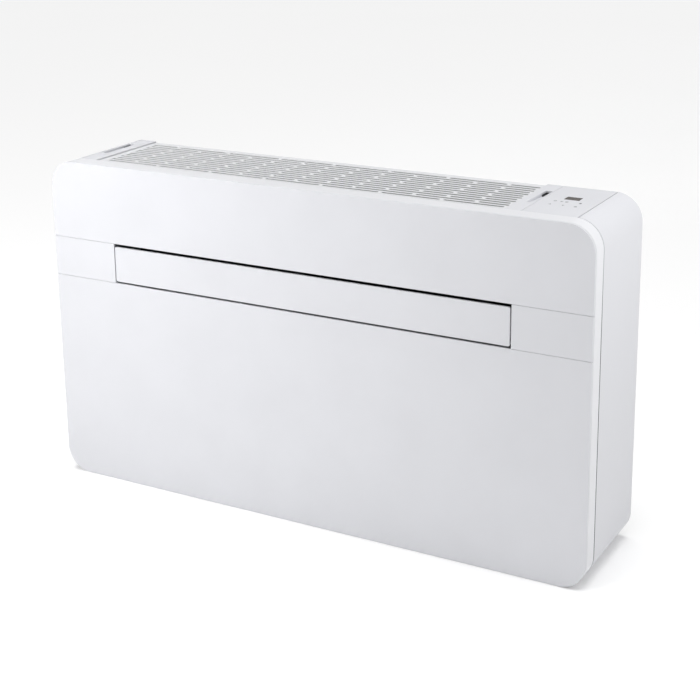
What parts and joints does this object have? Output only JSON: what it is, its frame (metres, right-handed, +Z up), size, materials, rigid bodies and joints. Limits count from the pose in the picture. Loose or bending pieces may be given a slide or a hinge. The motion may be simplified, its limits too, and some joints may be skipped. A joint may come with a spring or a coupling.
{
  "type": "heat recovery unit",
  "caption": "Slim wall-hung heat recovery unit: flat white casing with rounded corners, flush outlet flap, top intake grille and touch panel, wall duct collars at the back.",
  "frame": {"origin": "centre of the bottom of the casing's bounding box", "axes": "+Z up, -Y out of the front face into the room, +Y towards the wall, +X to the right seen from the room"},
  "size_m": [1, 0.212, 0.58],
  "materials": {
    "white_panel": "satin white moulded plastic",
    "white_shell": "fine-grained white moulded plastic",
    "grey_plastic": "matt grey moulded plastic",
    "dark_plastic": "matt dark grey moulded plastic",
    "galvanised_sheet": "galvanised steel sheet",
    "filter_media": "pleated synthetic fleece",
    "foam": "dark closed-cell foam",
    "display": "smoked glossy window",
    "exchanger_plastic": "thin white polystyrene plates",
    "circuit_board": "green solder mask",
    "terminal_plastic": "light grey polyamide"
  },
  "bodies": {
    "casing": {"front_frame": "white_shell", "upper_front_panel": "white_panel", "lower_front_panel": "white_panel", "left_band_cover": "white_panel", "right_band_cover": "white_panel", "left_side_casing": "white_shell", "right_side_casing": "white_shell", "base_plate": "white_shell", "rear_plate": "galvanised_sheet", "wall_bracket": "galvanised_sheet", "grille_seat": "grey_plastic", "control_panel": "white_shell", "display_window": "display", "control_board": "circuit_board", "outlet_frame": "grey_plastic", "flap_motor": "dark_plastic", "rear_guide": "grey_plastic", "vortex_tongue": "grey_plastic", "duct_end_left": "grey_plastic", "duct_end_right": "grey_plastic", "vane_motor": "dark_plastic", "rotor_bearing": "dark_plastic", "supply_motor": "galvanised_sheet", "intake_deck": "galvanised_sheet", "mid_deck": "galvanised_sheet", "left_partition": "galvanised_sheet", "right_partition": "galvanised_sheet", "heat_exchanger_core": "exchanger_plastic", "core_gasket": "foam", "condensate_tray": "grey_plastic", "fresh_air_collar": "grey_plastic", "exhaust_collar": "grey_plastic", "fresh_air_filter": "filter_media", "fan_bulkhead": "galvanised_sheet", "inlet_ring": "dark_plastic", "exhaust_motor": "galvanised_sheet", "front_liner": "foam", "electrical_box": "grey_plastic", "power_board": "circuit_board", "terminal_block": "terminal_plastic", "cable_gland": "dark_plastic"},
    "grille": {"top_grille": "white_shell", "grille_end_left": "white_shell", "grille_end_right": "white_shell", "extract_filter_frame": "dark_plastic", "extract_filter_media": "filter_media"},
    "flap": {"outlet_flap": "white_panel"},
    "vane_1_body": {"vane_1": "dark_plastic"},
    "vane_2_body": {"vane_2": "dark_plastic"},
    "vane_3_body": {"vane_3": "dark_plastic"},
    "vane_4_body": {"vane_4": "dark_plastic"},
    "vane_5_body": {"vane_5": "dark_plastic"},
    "vane_6_body": {"vane_6": "dark_plastic"},
    "vane_7_body": {"vane_7": "dark_plastic"},
    "vane_8_body": {"vane_8": "dark_plastic"},
    "vane_9_body": {"vane_9": "dark_plastic"},
    "link": {"vane_link": "dark_plastic"},
    "supply_rotor_body": {"supply_rotor": "dark_plastic"},
    "exhaust_impeller_body": {"exhaust_impeller": "dark_plastic"}
  },
  "joints": [
    {"name": "grille_lift", "type": "slide", "parent": "casing", "child": "grille", "axis": [0, 0, 1], "range_m": [0, 0.06]},
    {"name": "flap_hinge", "type": "hinge", "parent": "casing", "child": "flap", "pos_m": [0, -0.0995, 0.381], "axis": [1, 0, 0], "range_deg": [0, 65]},
    {"name": "vane_1_pivot", "type": "hinge", "parent": "casing", "child": "vane_1_body", "pos_m": [-0.328, -0.06, 0.408], "axis": [0, 0, 1], "range_deg": [-35, 35]},
    {"name": "vane_2_pivot", "type": "hinge", "parent": "casing", "child": "vane_2_body", "pos_m": [-0.246, -0.06, 0.408], "axis": [0, 0, 1], "range_deg": [-35, 35]},
    {"name": "vane_3_pivot", "type": "hinge", "parent": "casing", "child": "vane_3_body", "pos_m": [-0.164, -0.06, 0.408], "axis": [0, 0, 1], "range_deg": [-35, 35]},
    {"name": "vane_4_pivot", "type": "hinge", "parent": "casing", "child": "vane_4_body", "pos_m": [-0.082, -0.06, 0.408], "axis": [0, 0, 1], "range_deg": [-35, 35]},
    {"name": "vane_5_pivot", "type": "hinge", "parent": "casing", "child": "vane_5_body", "pos_m": [0, -0.06, 0.408], "axis": [0, 0, 1], "range_deg": [-35, 35]},
    {"name": "vane_6_pivot", "type": "hinge", "parent": "casing", "child": "vane_6_body", "pos_m": [0.082, -0.06, 0.408], "axis": [0, 0, 1], "range_deg": [-35, 35]},
    {"name": "vane_7_pivot", "type": "hinge", "parent": "casing", "child": "vane_7_body", "pos_m": [0.164, -0.06, 0.408], "axis": [0, 0, 1], "range_deg": [-35, 35]},
    {"name": "vane_8_pivot", "type": "hinge", "parent": "casing", "child": "vane_8_body", "pos_m": [0.246, -0.06, 0.408], "axis": [0, 0, 1], "range_deg": [-35, 35]},
    {"name": "vane_9_pivot", "type": "hinge", "parent": "casing", "child": "vane_9_body", "pos_m": [0.328, -0.06, 0.408], "axis": [0, 0, 1], "range_deg": [-35, 35]},
    {"name": "link_slide", "type": "slide", "parent": "casing", "child": "link", "axis": [1, 0, 0], "range_m": [-0.0112, 0.0112]},
    {"name": "supply_rotor_spin", "type": "hinge", "parent": "casing", "child": "supply_rotor_body", "pos_m": [0, 0.012, 0.42], "axis": [1, 0, 0], "continuous": true},
    {"name": "exhaust_impeller_spin", "type": "hinge", "parent": "casing", "child": "exhaust_impeller_body", "pos_m": [0.165, 0.008, 0.086], "axis": [1, 0, 0], "continuous": true}
  ],
  "couplings": [
    {"joint": "vane_2_pivot", "follows": "vane_1_pivot", "ratio": 1},
    {"joint": "vane_3_pivot", "follows": "vane_1_pivot", "ratio": 1},
    {"joint": "vane_4_pivot", "follows": "vane_1_pivot", "ratio": 1},
    {"joint": "vane_5_pivot", "follows": "vane_1_pivot", "ratio": 1},
    {"joint": "vane_6_pivot", "follows": "vane_1_pivot", "ratio": 1},
    {"joint": "vane_7_pivot", "follows": "vane_1_pivot", "ratio": 1},
    {"joint": "vane_8_pivot", "follows": "vane_1_pivot", "ratio": 1},
    {"joint": "vane_9_pivot", "follows": "vane_1_pivot", "ratio": 1},
    {"joint": "link_slide", "follows": "vane_1_pivot", "m_per_rad": 0.018}
  ]
}
